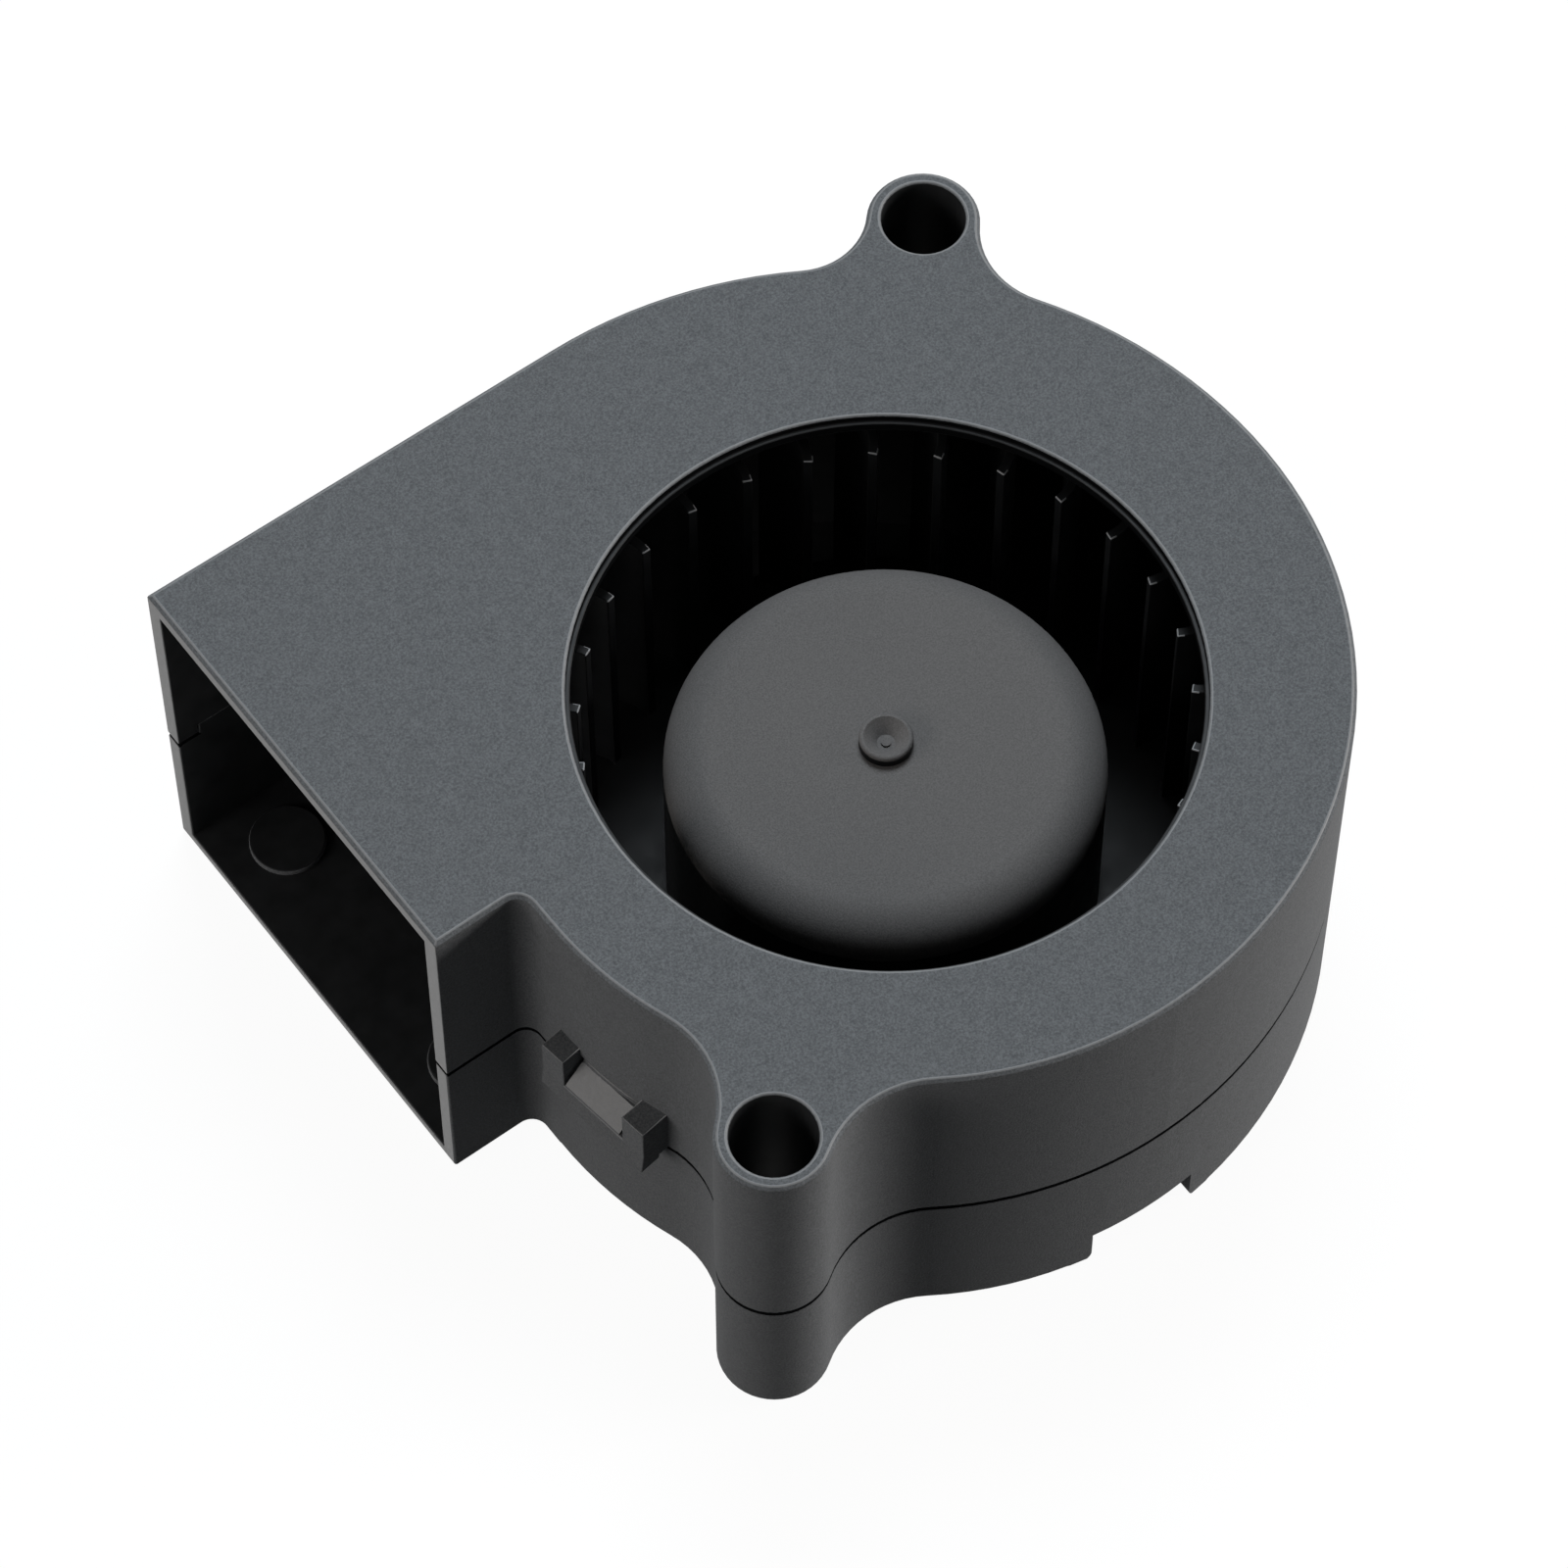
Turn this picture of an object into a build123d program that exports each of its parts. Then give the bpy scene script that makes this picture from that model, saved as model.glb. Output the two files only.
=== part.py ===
from build123d import *
import math
import os

# Centrifugal blower, inlet face up. The rotor turns about the Z axis at x = 0, y = 0.
# The underside of the base is z = 0, the outlet faces -X and the straight duct wall is on +Y.
# All lengths are in millimetres and all angles in degrees.

# Scroll outline: distance from the rotor axis to the outside of the wall, each way
reach_left = 25.0
reach_bottom = 26.5
reach_right = 28.0
reach_top = 30.8
arc_rise = 0.87           # rotor axis to the centres of the two right-hand arcs, along Y
mouth_reach = 31.0        # rotor axis to the rim of the outlet
tongue_rise = 2.6         # end of the left-hand arc to the outside of the duct wall at the tongue
tongue_radius = 1.1       # hollow between that wall and the scroll
duct_flare = 0.2          # how far the straight duct wall leans out at the outlet

# Housing shells
housing_height = 28.0
split_height = 12.0       # top of the base's wall, where the two shells meet
wall = 1.2
top_plate = 1.2
floor_plate = 1.0
rim_chamfer = 0.25        # broken edge round the outside of both shells
hole_chamfer = 0.12       # broken edge of the inlet and the ear holes
seam_gap = 0.15           # shadow line between the shells
seam_chamfer = 0.2
lip_thickness = 0.5       # upstand on the base that locates the cover
lip_height = 1.0
lip_clearance = 0.05
lip_setback = 1.5         # the lip stops this far inside the outlet
inlet_radius = 18.75
inlet_step = 0.25         # small ledge in the inlet's wall: width, and depth below the top
inlet_step_depth = 0.5

# Mounting ears, one at each end of a diagonal: centre and the two hollow curves beside each
ear_hole_radius = 2.57
ear_wall = 0.88
outlet_ear = (-22.8, -19.5)
outlet_ear_curves = (6.4, 6.6)
far_ear = (21.7, 25.0)
far_ear_curves = (5.4, 4.4)

# Snap latches: a loop on the cover hooks under a wedge on the base
latch_width = 8.5
latch_post = 1.8
latch_reach = 1.4         # scroll wall to the front of the loop
latch_gap = 0.12
latch_rise = 4.1          # top of the base's wall up to the top of the loop
bar_drop = 0.3            # top of the base's wall down to the bar's underside
bar_height = 1.6
bar_flare = 0.2           # the bar's front leans out to its lower edge
catch_reach = 1.45
catch_gap = 0.2           # between the wedge and the loop, on each side and below
catch_lip = 0.25          # height of the wedge's front
catch_slope = 1.1         # rise of its sloping top
tab_rise = 0.3            # the wall behind the wedge stands higher by this much
tongue_latch_angle = -169.0
tongue_latch_turn = -3.0  # this latch stands a little off the wall's tangent
duct_latch_angle = 68.0
side_latch_angle = 22.0

# Round pads on the duct floor, just inside the outlet
pad_radius = 2.4
pad_height = 0.4
pad_setback = 4.5         # outlet rim to the pads' centres
pad_spacing = 19.1

# Lead channel in the underside of the base
channel_x = -0.4
channel_width = 7.2
channel_height = 3.0
channel_roof = 1.0
channel_wall = 1.0
channel_start = 9.5       # rotor axis to the channel's inner end
channel_corner = 0.9

# Motor seat on the base
seat_ring_radius = 13.2
seat_ring_wall = 1.0
seat_ring_top = 4.4
boss_radius = 5.8
board_low = 3.2           # underside of the circuit board
tube_low = 1.6
post_radius = 0.9
post_ring = 10.4
post_angles = (38, 157)

# Shaft and sleeve bearing
shaft_radius = 1.5
shaft_chamfer = 0.5
groove_low = 3.05
groove_height = 0.5
groove_depth = 0.35
running_clearance = 0.02
sleeve_radius = 3.0
sleeve_low = 4.2
sleeve_recess = 1.2       # upper end of the tube down to the sleeve
sleeve_chamfer = 0.3
tube_radius = 4.2
tube_headroom = 1.9       # bush down to the tube
thrust_thickness = 0.6
washer_radius = 2.5
washer_thickness = 0.4
washer_slit = 0.8
oil_washer_gap = 0.3      # sleeve to the oil washer above it
oil_washer_radius = 2.6

# Impeller
hub_radius = 13.2
hub_low = 5.0
hub_depth = 6.5           # top of the housing down to the hub
hub_round = 2.7
hub_top_plate = 1.0
mark_radius = 1.63        # raised gate mark in the middle of the hub, with a conical dish
mark_height = 0.8
mark_round = 0.25
mark_rim = 0.28
dish_radius = 0.55
nib_radius = 0.3
nib_height = 0.12
back_plate = 1.0
impeller_radius = 22.6
blade_inner_radius = 18.0
blade_depth = 3.0         # top of the housing down to the blades
blade_count = 29
blade_phase = 5.85        # X axis to the inner edge of the first blade
blade_thickness = 0.6
blade_inlet_angle = 75.0  # blade to the tangent, at its inner edge
blade_outlet_angle = 30.0 # blade to the tangent, at its tip
rim_height = 1.0
rim_width = 0.9

# Rotor yoke, magnet and bush
yoke_radius = 12.1
yoke_wall = 0.8
yoke_bevel = 1.2
yoke_low = 6.2
magnet_wall = 1.45
magnet_over = 2.4         # the magnet stands above and below the core
magnet_under = 0.6
bush_radius = 3.2
bush_neck = 2.4
bush_length = 3.2

# Stator
core_radius = 9.4
core_low = 7.8
core_headroom = 4.9       # inside of the yoke's roof down to the core
core_ring = 5.4
pole_count = 4
neck_width = 3.0
shoe_thickness = 1.3
shoe_half_angle = 37.0
skin = 0.5                # insulator round the necks
skin_plate = 0.6
flange_height = 2.0
flange_wall = 0.5
flange_half_angle = 30.0
coil_thickness = 1.3
coil_corner = 1.0
coil_gap = 0.05
lug_width = 1.8
lug_end = 7.8             # rotor axis to the outer face of the lugs
pin_ring = 6.9
pin_side = 0.5            # the winding pins are square
pin_tail = 0.8

# Circuit board and its components: length, width and height, ring radius and angle
board_thickness = 1.0
board_radius = 11.4
board_clearance = 0.1
sensor_size = (3.0, 1.6, 1.2)
sensor_ring = 10.0
sensor_angle = 45
driver_size = (4.9, 3.9, 1.5)
driver_ring = 8.4
driver_angle = 90
capacitor_size = (2.0, 1.25, 1.0)
capacitor_ring = 8.2
capacitor_angles = (135, 180)
resistor_size = (1.6, 0.8, 0.5)
resistor_ring = 8.0
resistor_angles = (55, 205)
diode_size = (4.3, 2.6, 1.9)
diode_ring = 8.2
diode_angle = 5
solder_size = (1.2, 1.6, 0.3)
solder_ring = 9.6
solder_angles = (-103, -92, -81)

# How far a cutting solid runs past the face that it opens
cut_past = 1.0

# Values worked out from the sizes above
lower_radius = reach_bottom + arc_rise
lower_x = reach_right - lower_radius
left_radius = reach_left + lower_x
left_y = left_radius - reach_bottom
upper_radius = reach_top - arc_rise
upper_x = reach_right - upper_radius
tongue_wall_y = left_y + tongue_rise
duct_wall_y = reach_top + duct_flare
ear_radius = ear_hole_radius + ear_wall
left_arc = ((lower_x, left_y), left_radius)
upper_arc = ((upper_x, arc_rise), upper_radius)
latch_places = (
    (left_arc, tongue_latch_angle, tongue_latch_turn),
    (upper_arc, duct_latch_angle, 0),
    (upper_arc, side_latch_angle, 0),
)
latch_top = split_height + latch_rise
bar_low = split_height - bar_drop
bar_high = bar_low + bar_height
catch_width = latch_width - 2 * latch_post - 2 * catch_gap
catch_low = bar_high + catch_gap
catch_front = catch_low + catch_lip
catch_root = catch_front + catch_slope
catch_top = catch_root + tab_rise
hub_high = housing_height - hub_depth
blade_top = housing_height - blade_depth
yoke_high = hub_high - hub_top_plate
yoke_inner = yoke_radius - yoke_wall
core_high = yoke_high - yoke_wall - core_headroom
magnet_low = core_low - magnet_under
magnet_high = core_high + magnet_over
tube_high = yoke_high - bush_length - tube_headroom
sleeve_high = tube_high - sleeve_recess
board_high = board_low + board_thickness
shoe_inner = core_radius - shoe_thickness


def polar(radius, angle):
    turn = math.radians(angle)
    return (radius * math.cos(turn), radius * math.sin(turn))


def block(x_low, x_high, y_low, y_high, z_low, z_high):
    corner = (Align.MIN, Align.MIN, Align.MIN)
    return Pos(x_low, y_low, z_low) * Box(x_high - x_low, y_high - y_low, z_high - z_low, align=corner)


def prism(face, low, high):
    return Pos(0, 0, low) * extrude(face, high - low)


def disc(radius, low, high):
    return prism(Circle(radius), low, high)


def ring(outer, inner, low, high):
    return prism(Circle(outer) - Circle(inner), low, high)


def sector(outer, inner, centre_angle, half_angle):
    """Part of a flat ring, between two angles."""
    cutter = Polygon(
        (0, 0),
        polar(2 * outer, centre_angle - half_angle),
        polar(2 * outer, centre_angle),
        polar(2 * outer, centre_angle + half_angle),
    )
    return (Circle(outer) - Circle(inner)) & cutter


def scroll_face(inset, mouth):
    """Plan of the scroll and its duct, moved inwards by inset; the outlet is at x = -mouth."""
    fillet_x = -reach_left - tongue_radius
    fillet_y = tongue_wall_y - tongue_radius
    wall_x = -reach_left + inset
    low_y = tongue_wall_y + inset
    tongue_start = (fillet_x, low_y)
    duct_start = (upper_x, reach_top - inset)
    low_corner = (-mouth, low_y)
    high_corner = (-mouth, duct_wall_y - inset)
    edges = [
        Line(low_corner, tongue_start),
        CenterArc((fillet_x, fillet_y), tongue_radius + inset, 90, -90),
        Line((wall_x, fillet_y), (wall_x, left_y)),
        CenterArc((lower_x, left_y), left_radius - inset, 180, 90),
        CenterArc((lower_x, arc_rise), lower_radius - inset, 270, 90),
        CenterArc((upper_x, arc_rise), upper_radius - inset, 0, 90),
        Line(duct_start, high_corner),
        Line(high_corner, low_corner),
    ]
    return make_face(edges)


def tangent_centre(first, first_reach, second, second_reach, side):
    """Centre at given distances from two points, to the left (1) or right (-1) of their line."""
    span = math.dist(first, second)
    along = (first_reach**2 - second_reach**2 + span**2) / (2 * span)
    across = side * math.sqrt(first_reach**2 - along**2)
    ux = (second[0] - first[0]) / span
    uy = (second[1] - first[1]) / span
    return (first[0] + along * ux - across * uy, first[1] + along * uy + across * ux)


def ear_face(arc, ear, curves):
    """Mounting ear: a round boss joined to the scroll by a web with two hollow sides."""
    centre, radius = arc
    left = tangent_centre(centre, radius + curves[1], ear, ear_radius + curves[1], 1)
    right = tangent_centre(centre, radius + curves[0], ear, ear_radius + curves[0], -1)
    web = Polygon(centre, right, ear, left)
    web -= Pos(*left) * Circle(curves[1])
    web -= Pos(*right) * Circle(curves[0])
    return web + Pos(*ear) * Circle(ear_radius)


def housing_face():
    """Outer plan of the housing with its ears and their holes."""
    face = scroll_face(0, mouth_reach)
    face += ear_face(left_arc, outlet_ear, outlet_ear_curves)
    face += ear_face(upper_arc, far_ear, far_ear_curves)
    for ear in (outlet_ear, far_ear):
        face -= Pos(*ear) * Circle(ear_hole_radius)
    return face


def cavity_face():
    return scroll_face(wall, mouth_reach + wall)


def lip_face(clearance):
    """Plan of the locating lip, or of the rabbet that takes it."""
    inset = wall - lip_thickness - clearance
    return scroll_face(inset, mouth_reach - lip_setback + clearance) - cavity_face()


def on_wall(place):
    """Frame of a latch: X along the wall, Y outwards, Z up."""
    (centre, radius), angle, turn = place
    step = polar(radius, angle)
    return Pos(centre[0] + step[0], centre[1] + step[1], 0) * Rot(0, 0, angle + turn - 90)


def latch_loop():
    """Two posts and a cross bar, rooted in the cover's wall."""
    half = latch_width / 2
    bar = Polygon(
        (latch_gap, bar_low),
        (latch_reach + bar_flare, bar_low),
        (latch_reach, bar_high),
        (latch_gap, bar_high),
    )
    loop = extrude(Plane.YZ * bar, half, both=True)
    for low in (-half, half - latch_post):
        loop += block(low, low + latch_post, latch_gap, latch_reach, bar_low, latch_top)
        loop += block(low, low + latch_post, -wall / 2, latch_gap, split_height + seam_gap, latch_top)
    return loop


def latch_catch():
    """Wedge that the loop's bar snaps under: sloping top, flat underside."""
    profile = Polygon(
        (-wall / 2, catch_low),
        (catch_reach, catch_low),
        (catch_reach, catch_front),
        (0, catch_root),
        (-wall / 2, catch_root),
    )
    return extrude(Plane.YZ * profile, catch_width / 2, both=True)


def catch_window(margin, low, high):
    half = catch_width / 2 + margin
    return block(-half, half, -2 * wall, wall, low, high)


def inlet_cover():
    """Upper shell: top plate with the inlet, outer wall, ear bosses and latch loops."""
    step_low = housing_height - inlet_step_depth
    shell = prism(housing_face(), split_height + seam_gap, housing_height)
    rim = shell.faces().sort_by(Axis.Z)[-1].outer_wire().edges()
    shell = chamfer(rim, rim_chamfer)
    shell -= prism(cavity_face(), split_height, housing_height - top_plate)
    shell -= disc(inlet_radius - inlet_step, split_height, step_low)
    shell -= disc(inlet_radius, step_low, housing_height + cut_past)
    holes = shell.faces().sort_by(Axis.Z)[-1].inner_wires()
    shell = chamfer([edge for hole in holes for edge in hole.edges()], hole_chamfer)
    shell -= prism(lip_face(lip_clearance), split_height, split_height + lip_height)
    for place in latch_places:
        shell -= on_wall(place) * catch_window(catch_gap, split_height, catch_top + catch_gap)
        shell += on_wall(place) * latch_loop()
    return shell


def lead_channel():
    """Void of the channel, with rounded corners where it leaves the wall at the bottom."""
    half = channel_width / 2
    far = reach_bottom + wall
    void = block(channel_x - half, channel_x + half, -far, -channel_start, -cut_past, channel_height)
    for side in (-1, 1):
        flank = channel_x + side * half
        square = block(-channel_corner, channel_corner, -far, wall - reach_bottom, 0, channel_corner)
        round_bar = Cylinder(channel_corner, 2 * far, rotation=(90, 0, 0))
        relief = Pos(flank, 0, 0) * square
        relief -= Pos(flank + side * channel_corner, 0, channel_corner) * round_bar
        void += relief
    return void


def base_case():
    """Lower shell: floor, outer wall with the locating lip, motor seat and lead channel."""
    shell = prism(housing_face(), 0, split_height)
    shell = chamfer(shell.faces().sort_by(Axis.Z)[-1].outer_wire().edges(), seam_chamfer)
    shell = chamfer(shell.faces().sort_by(Axis.Z)[0].outer_wire().edges(), rim_chamfer)
    shell -= prism(cavity_face(), floor_plate, split_height)
    shell += prism(lip_face(0), split_height - lip_height, split_height + lip_height)
    tab_low = split_height - lip_height
    tab_wall = prism(scroll_face(0, mouth_reach) - cavity_face(), tab_low, catch_top)
    for place in latch_places:
        shell += tab_wall & (on_wall(place) * catch_window(0, tab_low, catch_top))
        shell += on_wall(place) * latch_catch()

    pad_y = (tongue_wall_y + duct_wall_y) / 2
    for side in (-1, 1):
        pad = disc(pad_radius, floor_plate / 2, floor_plate + pad_height)
        shell += Pos(pad_setback - mouth_reach, pad_y + side * pad_spacing / 2, 0) * pad

    half = channel_width / 2 + channel_wall
    hump_top = channel_height + channel_roof
    tunnel = block(channel_x - half, channel_x + half, -reach_bottom, -channel_start, 0, hump_top)
    tunnel &= prism(scroll_face(wall / 2, mouth_reach), 0, hump_top)
    shell += tunnel - disc(seat_ring_radius - seat_ring_wall, 0, hump_top)
    shell += ring(seat_ring_radius, seat_ring_radius - seat_ring_wall, 0, seat_ring_top)
    shell += disc(boss_radius, 0, board_low)
    for angle in post_angles:
        shell += Pos(*polar(post_ring, angle)) * disc(post_radius, 0, board_low)
    shell -= disc(tube_radius, tube_low, board_low)
    shell -= lead_channel()
    return shell


def blade_face():
    """Plan of one forward-curved blade: a circular arc between two radii, of even thickness."""
    inner = blade_inner_radius
    tip = impeller_radius - blade_thickness / 2
    inlet = math.radians(blade_inlet_angle)
    outlet = math.radians(blade_outlet_angle)
    arc = (tip**2 - inner**2) / (2 * (inner * math.cos(inlet) + tip * math.cos(outlet)))
    centre = (inner + arc * math.cos(inlet), arc * math.sin(inlet))
    centre_angle = math.degrees(math.atan2(centre[1], centre[0]))
    tip_angle = centre_angle - math.degrees(
        math.atan2(arc * math.sin(outlet), tip - arc * math.cos(outlet))
    )
    start = 180 + blade_inlet_angle
    turn = 180 - blade_inlet_angle - blade_outlet_angle + tip_angle
    half = blade_thickness / 2
    back = CenterArc(centre, arc + half, start, turn)
    front = CenterArc(centre, arc - half, start, turn)
    return make_face([back, Line(back @ 1, front @ 1), front, Line(front @ 0, back @ 0)])


def gate_mark():
    """Raised ring in the middle of the hub, with a dish and a nib where the mould was filled."""
    mark = disc(mark_radius, hub_high, hub_high + mark_height)
    mark = fillet(mark.edges().group_by(Axis.Z)[-1], mark_round)
    dish = Cone(dish_radius, mark_radius - mark_rim, mark_height)
    mark -= Pos(0, 0, hub_high + mark_height / 2) * dish
    return mark + disc(nib_radius, hub_high, hub_high + nib_height)


def impeller():
    """Hub cap, back plate, blades and the rim ring that ties the blade tips."""
    hub = disc(hub_radius, hub_low, hub_high)
    hub = fillet(hub.edges().group_by(Axis.Z)[-1], hub_round)
    bore = disc(yoke_radius, hub_low, yoke_high)
    hub -= chamfer(bore.edges().group_by(Axis.Z)[-1], yoke_bevel)
    hub += gate_mark()
    plate_top = hub_low + back_plate
    wheel = hub + ring(impeller_radius, (hub_radius + yoke_radius) / 2, hub_low, plate_top)
    blade = prism(blade_face(), hub_low + back_plate / 2, blade_top)
    pitch = 360 / blade_count
    wheel += [Rot(0, 0, blade_phase + number * pitch) * blade for number in range(blade_count)]
    return wheel + ring(impeller_radius, impeller_radius - rim_width, blade_top - rim_height, blade_top)


def rotor_yoke():
    """Steel cup that carries the magnet and closes its field."""
    cup = disc(yoke_radius, yoke_low, yoke_high)
    cup = chamfer(cup.edges().group_by(Axis.Z)[-1], yoke_bevel)
    hollow = disc(yoke_inner, yoke_low, yoke_high - yoke_wall)
    return cup - hollow - disc(bush_neck, yoke_low, yoke_high)


def rotor_bush():
    """Stepped bush that joins the yoke to the shaft."""
    shoulder = yoke_high - yoke_wall
    bush = disc(bush_radius, yoke_high - bush_length, shoulder)
    bush += disc(bush_neck, shoulder, yoke_high)
    return bush - disc(shaft_radius, 0, yoke_high)


def shaft():
    """Ground shaft with a bevelled lower end and a groove for the retaining washer."""
    rod = disc(shaft_radius, tube_low + thrust_thickness, yoke_high)
    rod = chamfer(rod.edges().group_by(Axis.Z)[0], shaft_chamfer)
    waist = shaft_radius - groove_depth
    return rod - ring(shaft_radius, waist, groove_low, groove_low + groove_height)


def retaining_washer():
    """Split washer that snaps into the shaft's groove."""
    low = groove_low + (groove_height - washer_thickness) / 2
    washer = ring(washer_radius, shaft_radius - groove_depth, low, low + washer_thickness)
    half = washer_slit / 2
    return washer - block(0, washer_radius, -half, half, low, low + washer_thickness)


def sleeve_bearing():
    sleeve = disc(sleeve_radius, sleeve_low, sleeve_high)
    sleeve = chamfer(sleeve.edges().filter_by(GeomType.CIRCLE), sleeve_chamfer)
    return sleeve - disc(shaft_radius + running_clearance, 0, sleeve_high)


def pole_plan(ring_radius, width, shoe_outer, shoe_inset, half_angle):
    """Hub ring, radial necks and curved shoes, as the laminations and insulators share."""
    plan = Circle(ring_radius)
    for number in range(pole_count):
        angle = number * 360 / pole_count
        neck = Pos(shoe_inner / 2, 0) * Rectangle(shoe_inner + shoe_inset, width)
        plan += Rot(0, 0, angle) * neck
        plan += sector(shoe_outer, shoe_inner, angle, half_angle)
    return plan - Circle(tube_radius)


def stator_core():
    plan = pole_plan(core_ring, neck_width, core_radius, shoe_thickness, shoe_half_angle)
    return prism(plan, core_low, core_high)


def insulator(face_z, way):
    """Half of the coil former: end plate, flanges and skirts down the necks. way is 1 for up."""
    middle = (core_low + core_high) / 2
    outer = shoe_inner + flange_wall
    plan = pole_plan(core_ring + flange_wall, neck_width + 2 * skin, outer, 0, flange_half_angle)
    plate_end = face_z + way * skin_plate
    flange_end = face_z + way * flange_height
    body = prism(plan, min(face_z, plate_end), max(face_z, plate_end))
    low, high = min(face_z, flange_end), max(face_z, flange_end)
    body += ring(core_ring + flange_wall, core_ring, low, high)
    skirt_low, skirt_high = min(middle, face_z), max(middle, face_z)
    half = neck_width / 2
    for number in range(pole_count):
        angle = number * 360 / pole_count
        body += prism(sector(outer, shoe_inner, angle, flange_half_angle), low, high)
        for side_low in (-half - skin, half):
            skirt = block(core_ring, shoe_inner - skin, side_low, side_low + skin, skirt_low, skirt_high)
            body += Rot(0, 0, angle) * (skirt - disc(core_ring, core_low, core_high))
    return body


def lower_insulator():
    """The lower half also has a lug between each two poles, which holds a winding pin."""
    low = core_low - flange_height
    half = lug_width / 2
    arm = block(core_ring, lug_end, -half, half, low, core_low)
    body = insulator(core_low, -1) + [turn * arm for turn in between_poles()]
    return body - winding_pins()


def between_poles():
    return [Rot(0, 0, (number + 0.5) * 360 / pole_count) for number in range(pole_count)]


def winding_pins():
    half = pin_side / 2
    pin = block(pin_ring - half, pin_ring + half, -half, half, board_low - pin_tail, core_low)
    return [turn * pin for turn in between_poles()]


def coil(number):
    """Winding round one neck, outside the insulator."""
    height = core_high - core_low + 2 * skin_plate + 2 * coil_gap
    width = neck_width + 2 * skin + 2 * coil_gap
    middle = (core_low + core_high) / 2
    outer = RectangleRounded(width + 2 * coil_thickness, height + 2 * coil_thickness, coil_corner)
    frame = outer - Rectangle(width, height)
    start = core_ring + flange_wall + coil_gap
    winding = extrude(Plane.YZ.offset(start) * frame, shoe_inner - start)
    winding = Pos(0, 0, middle) * winding
    winding &= disc(shoe_inner - coil_gap, 0, housing_height)
    return Rot(0, 0, number * 360 / pole_count) * winding


def circuit_board():
    return ring(board_radius, tube_radius + board_clearance, board_low, board_high) - winding_pins()


def component(size, radius, angle, low):
    """One moulded or ceramic component, its length square to the board's radius."""
    length, width, height = size
    body = block(-width / 2, width / 2, -length / 2, length / 2, low, low + height)
    return Rot(0, 0, angle) * Pos(radius, 0, 0) * body


def below_board(size, radius, angle):
    return component(size, radius, angle, board_low - size[2])


pieces = {
    "inlet_cover": inlet_cover(),
    "base_case": base_case(),
    "impeller": impeller(),
    "rotor_yoke": rotor_yoke(),
    "ring_magnet": ring(yoke_inner, yoke_inner - magnet_wall, magnet_low, magnet_high),
    "rotor_bush": rotor_bush(),
    "shaft": shaft(),
    "retaining_washer": retaining_washer(),
    "oil_washer": ring(
        oil_washer_radius,
        shaft_radius,
        sleeve_high + oil_washer_gap,
        sleeve_high + oil_washer_gap + washer_thickness,
    ),
    "bearing_tube": ring(tube_radius, sleeve_radius, tube_low, tube_high),
    "sleeve_bearing": sleeve_bearing(),
    "thrust_plate": disc(sleeve_radius, tube_low, tube_low + thrust_thickness),
    "stator_core": stator_core(),
    "upper_insulator": insulator(core_high, 1),
    "lower_insulator": lower_insulator(),
    "winding_pins": winding_pins(),
    "circuit_board": circuit_board(),
    "hall_sensor": component(sensor_size, sensor_ring, sensor_angle, board_high),
    "drive_chip": below_board(driver_size, driver_ring, driver_angle),
    "chip_capacitors": [
        below_board(capacitor_size, capacitor_ring, angle) for angle in capacitor_angles
    ],
    "chip_resistors": [below_board(resistor_size, resistor_ring, angle) for angle in resistor_angles],
    "diode": below_board(diode_size, diode_ring, diode_angle),
    "solder_pads": [below_board(solder_size, solder_ring, angle) for angle in solder_angles],
}
for number in range(pole_count):
    pieces[f"coil_{number + 1}"] = coil(number)

os.makedirs("parts", exist_ok=True)
for name, piece in pieces.items():
    solid = Compound(piece) if isinstance(piece, list) else piece
    export_step(solid, f"parts/{name}.step")
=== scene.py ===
import math

import bmesh
import bpy
from bpy.props import FloatProperty, FloatVectorProperty, PointerProperty
from mathutils import Matrix, Vector
from mathutils.bvhtree import BVHTree
from mathutils.interpolate import poly_3d_calc


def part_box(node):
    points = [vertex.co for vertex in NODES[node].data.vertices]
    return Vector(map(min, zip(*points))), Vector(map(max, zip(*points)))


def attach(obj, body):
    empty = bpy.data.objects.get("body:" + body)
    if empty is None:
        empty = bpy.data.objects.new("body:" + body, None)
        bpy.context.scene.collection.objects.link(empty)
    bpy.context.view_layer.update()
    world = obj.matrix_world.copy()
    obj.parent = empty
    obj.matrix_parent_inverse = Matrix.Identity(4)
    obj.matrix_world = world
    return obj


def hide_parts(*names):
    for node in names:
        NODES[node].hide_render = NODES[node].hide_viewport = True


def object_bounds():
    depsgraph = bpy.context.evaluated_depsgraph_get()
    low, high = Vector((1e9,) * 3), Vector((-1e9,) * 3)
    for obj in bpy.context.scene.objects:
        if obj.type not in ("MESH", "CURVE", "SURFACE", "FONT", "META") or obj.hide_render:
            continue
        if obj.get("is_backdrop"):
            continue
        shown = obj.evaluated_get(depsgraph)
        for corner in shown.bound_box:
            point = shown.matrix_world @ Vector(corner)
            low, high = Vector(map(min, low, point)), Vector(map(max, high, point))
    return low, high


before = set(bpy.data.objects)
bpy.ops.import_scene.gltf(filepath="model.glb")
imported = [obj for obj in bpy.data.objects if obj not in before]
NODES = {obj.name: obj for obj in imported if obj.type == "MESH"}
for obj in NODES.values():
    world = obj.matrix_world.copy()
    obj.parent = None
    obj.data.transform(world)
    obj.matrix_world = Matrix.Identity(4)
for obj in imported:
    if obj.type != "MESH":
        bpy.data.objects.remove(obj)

bl_info = {
    "name": "Centrifugal Blower",
    "version": (1, 0, 0),
    "blender": (4, 5, 0),
    "location": "View3D > Sidebar > Blower",
    "description": "Dresses the packed parts of a centrifugal blower and sets the stage round it",
    "category": "Object",
}

MM = 0.001
CAD_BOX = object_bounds()

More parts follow.
